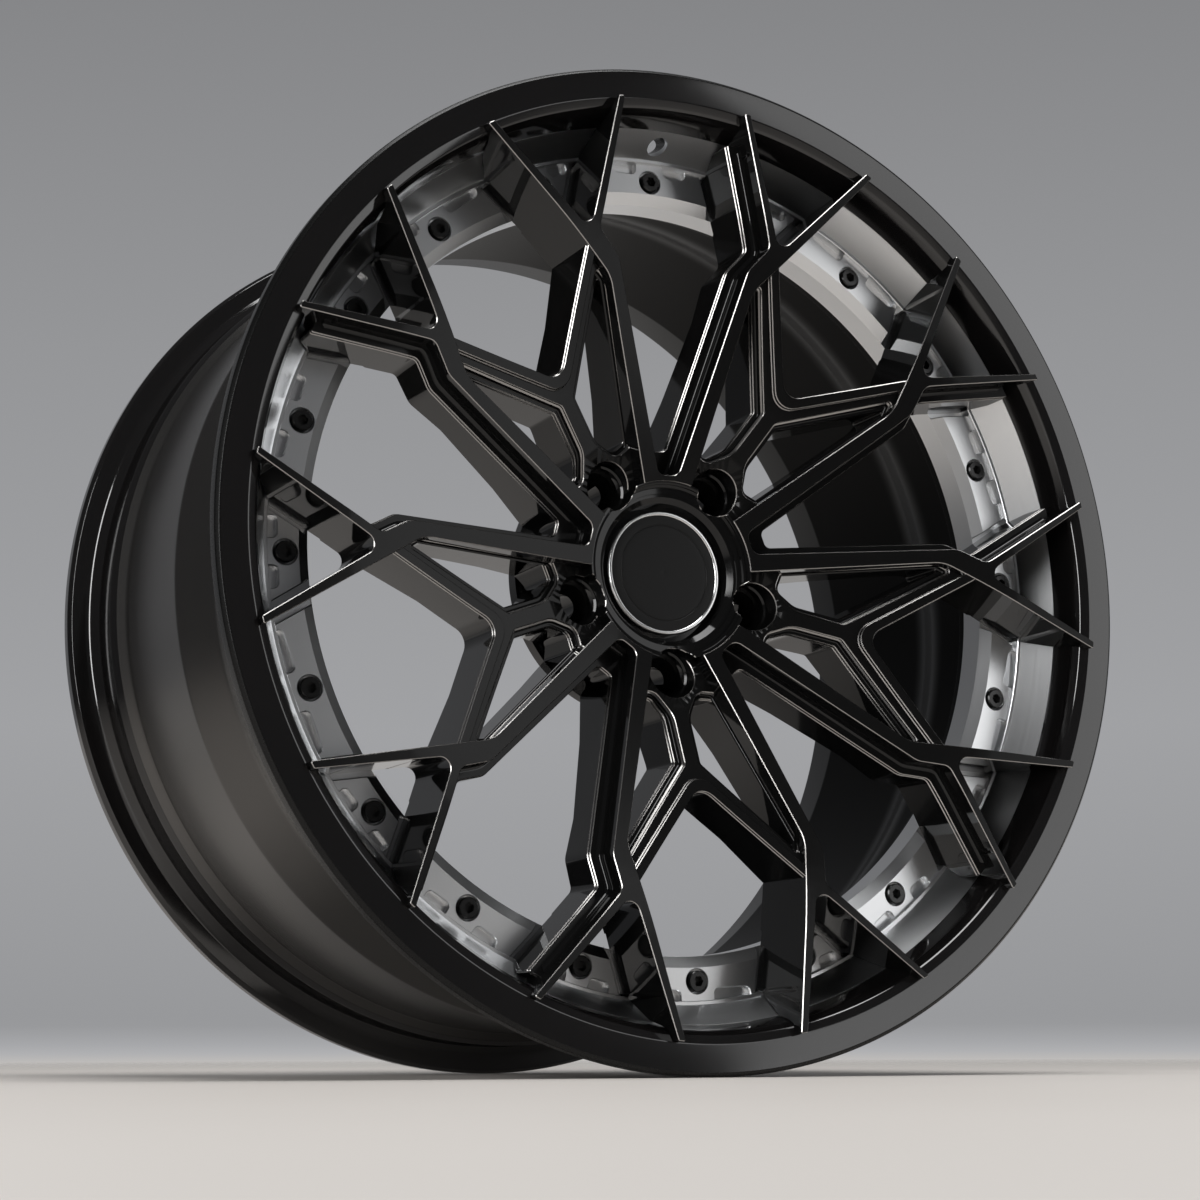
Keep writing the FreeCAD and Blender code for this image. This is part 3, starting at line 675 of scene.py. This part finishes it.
# straight wall of the valve hole from one cone to the next
def bridge(shell, ends, name, otherEnds, otherName, look):
    rows = [(valveMouth(name), coneDepth(ends)), (valveMouth(otherName), coneDepth(otherEnds))]
    points = [np.column_stack([plan[:, 0], depth(radiusOf(plan)), plan[:, 1]]) for plan, depth in rows]
    count = len(points[0])
    step = np.arange(count)
    ahead = (step + 1) % count
    shell.take(np.vstack(points), np.column_stack([step, ahead, ahead + count, step + count]), look)


def ringCuts():
    cuts = []
    for number in range(wheel["spokes"]):
        start = wheel["firstPair"] + wheel["pitch"] * number
        for turn, offset, width in band["pockets"]:
            recess = ringLoop(band["recess"], 40) + (0, band["boltCircle"])
            cuts.append((turnedBy(recess, start + turn), band["recessDepth"]))
            for side in (-1, 1):
                low, high = side * offset - width / 2, side * offset + width / 2
                foot, soft = band["pocketFoot"], band["pocketRound"]
                top = band["faceOuter"] + band["pocketOver"]
                corners = [(low, top, 0), (low, foot, soft), (high, foot, soft), (high, top, 0)]
                pocket = roundedLoop(corners, band["pocketSpacing"])
                cuts.append((turnedBy(pocket, start + turn), band["pocketDepth"]))
        for channel in band["channels"]:
            right = roundedLoop(channel, band["channelSpacing"])
            for loop in (right, (right * (-1, 1))[::-1]):
                cuts.append((turnedBy(loop, start), band["channelDepth"]))
    return cuts


# open stretches of an outline that lie between two radii
def runs(loop, low, high):
    within = (radiusOf(loop) > low - 1) & (radiusOf(loop) < high + 1)
    starts = np.flatnonzero(within & ~np.roll(within, 1))
    paths = []
    for start in starts:
        turned = np.roll(loop, -start, axis=0)
        stop = np.flatnonzero(~np.roll(within, -start))[0]
        paths.append(turned[:stop])
    return paths


def silverRing(shell):
    edge, level = band["edge"], band["face"]
    low, high, inner = band["faceInner"], band["faceOuter"], band["inner"]
    cuts = ringCuts()
    mouths = [moved(loop, edge) for loop, depth in cuts]
    rings = [ringLoop(radius, band["segments"]) for radius in (inner, low, high)]
    onFace = between(inner, high, [])

    def top(radius):
        return np.interp(radius, [inner, low], [level + band["bevelDepth"], level])

    cap(shell, rings + mouths, between(inner, high, mouths), top, 0)
    for loop, depth in cuts:
        floor = flat(level + depth)
        rows = [(-edge, top), (0, lower(top, edge)), (0, floor)]
        if radiusOf(loop).min() > low:
            carry(shell, loop[::-1], rows, [0, 0])
        else:
            for path in runs(loop[::-1], inner, high):
                carry(shell, path, rows, [0, 0], False)
        cap(shell, [loop] + rings, lambda spot: inside(loop, spot) & onFace(spot), floor, 0)
    front, back = band["slope"], band["backCone"]
    for wall in (band["shoulder"] + front[:1],
                 (band["skirt"] + back[:1])[::-1],
                 [front[1], band["tongue"], back[1]]):
        sweepRound(shell, np.array(wall), 0, band["segments"], False)
    coneWithHole(shell, front, "ringFront", 0, True)
    coneWithHole(shell, back, "ringBack", 0, False)
    bridge(shell, front, "ringFront", back, "ringBack", 0)


shell = Shell()
silverRing(shell)
shell.build("mountingRing", [finish["silver"]], "mounting_ring")

# rim pieces: (radius, depth, corner radius) all the way round each section
rim = {
    "segments": 384, "spacing": 60.0, "valveRuns": [(244.9, 37), (250.2, 51)],
    # gloss parts: throat of the lip within a radius and depth, rear bead of the barrel from a depth on, the
    # bead's black gloss being painted shade against the barrel
    "throat": (258.2, 30), "beadStart": 246,
    "lip": [(257.0, 0.8, 2.2), (271.7, 0, 1.2), (273.7, 2, 1.5), (273.7, 9, 1.2), (271.7, 12, 1),
            (261.9, 13, 5.5), (256.8, 18.5, 5.5), (255.5, 35, 1), (257.0, 40, 2.5), (254.4, 45, 1),
            (246, 57, 1), (238.5, 58, 0.4), (214.7, 58, 0.3), (214.7, 50.05, 0.3), (240.6, 50.05, 0.3),
            (249.1, 24, 0.3), (249.1, 20.95, 0.3), (247, 20.95, 0.3), (250, 8, 9), (252.5, 3, 3.5)],
    "barrel": [(214.7, 58.05, 0.3), (238, 58.05, 0.4), (237, 61.05, 0.6), (237, 119, 14), (249.4, 148, 9),
               (249.4, 244, 3), (254.4, 249, 3), (257.0, 254, 2.5), (255.5, 259, 2), (256.8, 275.5, 5.5),
               (261.9, 281, 5.5), (271.7, 282, 1), (273.7, 285, 1.2), (273.7, 292, 1.5), (271.7, 294, 1.2),
               (260.4, 293.2, 3), (252.5, 285, 8), (244.9, 249, 12), (244.9, 150, 45), (232.5, 121, 45),
               (232.5, 76.05, 3), (228.5, 70.05, 2), (214.7, 70.05, 0.3)],
}


# profile of the lip opened at the two straight runs that the valve hole crosses
def pierceLip(shell, profile, looks):
    middle = (profile + np.roll(profile, -1, axis=0)) / 2
    cuts = []
    for radius, depth in rim["valveRuns"]:
        cuts.append(np.argmin(np.hypot(middle[:, 0] - radius, middle[:, 1] - depth)))
    first, second = sorted(cuts)
    count = len(profile)
    for start, stop in ((first + 1, second), (second + 1, first + count)):
        row = np.arange(start, stop + 1) % count
        sweepRound(shell, profile[row], looks[row][:-1], rim["segments"], False)
    ends = [[tuple(profile[cut]), tuple(profile[(cut + 1) % count])] for cut in cuts]
    coneWithHole(shell, ends[0], "lipFront", 1, True, rim["segments"])
    coneWithHole(shell, ends[1], "lipBack", 0, False, rim["segments"])
    bridge(shell, ends[0], "lipFront", ends[1], "lipBack", 0)


shell = Shell()
profile = roundedLoop(rim["lip"], rim["spacing"])
throat = (profile < rim["throat"]).all(1)
pierceLip(shell, profile, throat.astype(int))
shell.build("outerLip", [finish["lip"], finish["throat"]], "outer_lip")
shell = Shell()
profile = roundedLoop(rim["barrel"], rim["spacing"])
inward = np.roll(profile[:, 1], -1) < profile[:, 1]
# faces turned toward the axle get the near-black inside finish rather than the barrel's own: painted shade
shadedInward = inward if signedArea(profile) > 0 else ~inward
# the outer faces of the rear bead take the black gloss: sharper reflections, and darker than the barrel,
# which is painted shade
shadedBead = ~shadedInward & (profile[:, 1] > rim["beadStart"])
sweepRound(shell, profile, np.where(shadedBead, 2, shadedInward.astype(int)), rim["segments"])
looks = [finish["barrel"], finish["inside"], finish["throat"]]
shell.build("innerBarrel", looks, "inner_barrel")

capParts = {
    "segments": 192, "spacing": 3.0,
    "trim": [(32.2, 50.9, 0.15), (33.1, 50.2, 0.4), (34.3, 50.2, 0.5), (35.2, 51.1, 0.4), (35.2, 57, 0.1),
             (33.5, 57, 0.1), (33.5, 50.95, 0.05)],
    "disc": [(0.02, 51.0, 0.01), (26.6, 51.0, 0.1), (26.8, 51.25, 0.1), (27.3, 51.25, 0.1), (27.5, 51.0, 0.1),
             (33.4, 51.0, 0.2), (33.4, 52.2, 0.2), (0.02, 52.2, 0.01)],
}
for name, piece, node, slot in (("trim", "capTrim", "cap_trim_ring", "bright_trim"),
                                ("disc", "capDisc", "cap_disc", "cap_black")):
    shell = Shell()
    sweepRound(shell, roundedLoop(capParts[name], capParts["spacing"]), 0, capParts["segments"])
    shell.build(piece, [finish[name]], node)
print("turned pieces done")

stage = {
    "floorHeight": -0.2737, "floorSize": 30.0, "fadeFrom": 0.5, "fadeTo": 2.4,
    "floorLow": (0.79, 0.745, 0.70), "floorHigh": (0.81, 0.765, 0.72), "rough": 0.5, "roughSpread": 0.1,
}


def floorPaint(name):
    shader = Shader(name, {"Metallic": 0.0})
    grain = shader.noise(shader.place(), 3, 2)
    shader.feed("Base Color", shader.blend(grain, opaque(stage["floorLow"]), opaque(stage["floorHigh"])))
    shader.feed("Roughness", stage["rough"] + grain * stage["roughSpread"])
    # the far floor gives way to the backdrop
    away = shader.add("ShaderNodeVectorMath", {"operation": "LENGTH"}, {0: shader.place()})
    fade = shader.ease(shader.out(away, "Value"), stage["fadeFrom"], stage["fadeTo"])
    clear = shader.add("ShaderNodeBsdfTransparent", {}, {})
    both = shader.add("ShaderNodeMixShader", {}, {
        0: fade, 1: shader.out(shader.surface, "BSDF"), 2: shader.out(clear, "BSDF")})
    shader.tree.links.new(both.outputs[0], shader.tree.nodes["Material Output"].inputs["Surface"])
    return shader.material


half = stage["floorSize"] / 2
mesh = bpy.data.meshes.new("floor")
mesh.from_pydata([(across * half, along * half, stage["floorHeight"])
                  for across, along in ((-1, -1), (1, -1), (1, 1), (-1, 1))], [], [(0, 1, 2, 3)])
mesh.materials.append(floorPaint("paleFloor"))
floor = bpy.data.objects.new("floor", mesh)
bpy.context.collection.objects.link(floor)

# grey studio wall, lighter at floor level and half way up, as stops of (height on the sky sphere, grey)
studio = {
    "stops": [(0.0, 0.62), (0.012, 0.55), (0.016, 0.50), (0.020, 0.43), (0.025, 0.37), (0.032, 0.315),
              (0.16, 0.36), (0.32, 0.305), (0.47, 0.24), (1.0, 0.20)],
    "tint": (0.985, 0.995, 1.03), "warm": (1.03, 1.0, 0.97), "lift": 0.02, "warmBelow": 0.018,
    "backdrop": (0.46, 0.89), "from": 0.30, "to": 0.93, "room": (0.07, 0.07, 0.072),
}
world = bpy.data.worlds.new("studio")
bpy.context.scene.world = world
world.use_nodes = True
sky = Graph(world.node_tree)
across, along, up = sky.axes(sky.place("Generated"))
ramp = sky.add("ShaderNodeValToRGB", {}, {"Fac": up + studio["lift"]})
while len(ramp.color_ramp.elements) < len(studio["stops"]):
    ramp.color_ramp.elements.new(0.5)
for element, (height, shade) in zip(ramp.color_ramp.elements, studio["stops"]):
    element.position = height
    tint = studio["warm"] if height < studio["warmBelow"] else studio["tint"]
    element.color = opaque(shade * part for part in tint)
# pale backdrop behind the wheel, dimmer room on the other side
toward = across * studio["backdrop"][0] + along * studio["backdrop"][1]
backdrop = sky.ease(toward, studio["from"], studio["to"])
view = sky.blend(backdrop, opaque(studio["room"]), sky.out(ramp, "Color"))
sky.tree.links.new(view.socket, sky.tree.nodes["Background"].inputs["Color"])

lamps = {
    "top": {"place": (0.1, -0.5, 2.6), "aim": (0, 0, -0.27), "size": (1.6, 1.6), "power": 54},
    "left": {"place": (-2.2, -1.6, 0.6), "aim": (0, 0, 0), "size": (0.6, 1.8), "power": 34},
    "right": {"place": (2.0, -1.9, 0.5), "aim": (0, 0, 0), "size": (1.7, 1.7), "power": 13},
}
for name, row in lamps.items():
    light = bpy.data.lights.new(name, "AREA")
    light.shape = "RECTANGLE"
    light.size, light.size_y = row["size"]
    light.energy = row["power"]
    lamp = bpy.data.objects.new(name, light)
    lamp.location = row["place"]
    lamp.rotation_euler = (Vector(row["aim"]) - Vector(row["place"])).to_track_quat("-Z", "Y").to_euler()
    bpy.context.collection.objects.link(lamp)
print("stage done")

shot = {
    "place": (-0.5851, -1.0985, -0.2602), "yaw": 27.27, "pitch": 11.46, "roll": -0.17,
    "lens": 66.75, "sensor": 36, "clip": 0.01,
}
yaw, pitch, roll = (math.radians(shot[key]) for key in ("yaw", "pitch", "roll"))
forward = Vector((math.sin(yaw) * math.cos(pitch), math.cos(yaw) * math.cos(pitch), math.sin(pitch)))
level = Vector((math.cos(yaw), -math.sin(yaw), 0))
rise = level.cross(forward)
right = level * math.cos(roll) + rise * math.sin(roll)
upward = rise * math.cos(roll) - level * math.sin(roll)
lens = bpy.data.cameras.new("photoCamera")
lens.lens = shot["lens"]
lens.sensor_width = shot["sensor"]
lens.clip_start = shot["clip"]
camera = bpy.data.objects.new("photoCamera", lens)
camera.matrix_world = Matrix((
    (right.x, upward.x, -forward.x, shot["place"][0]),
    (right.y, upward.y, -forward.y, shot["place"][1]),
    (right.z, upward.z, -forward.z, shot["place"][2]),
    (0, 0, 0, 1),
))
bpy.context.collection.objects.link(camera)
bpy.context.scene.camera = camera
bpy.context.scene.view_settings.view_transform = "Standard"
print("camera done")
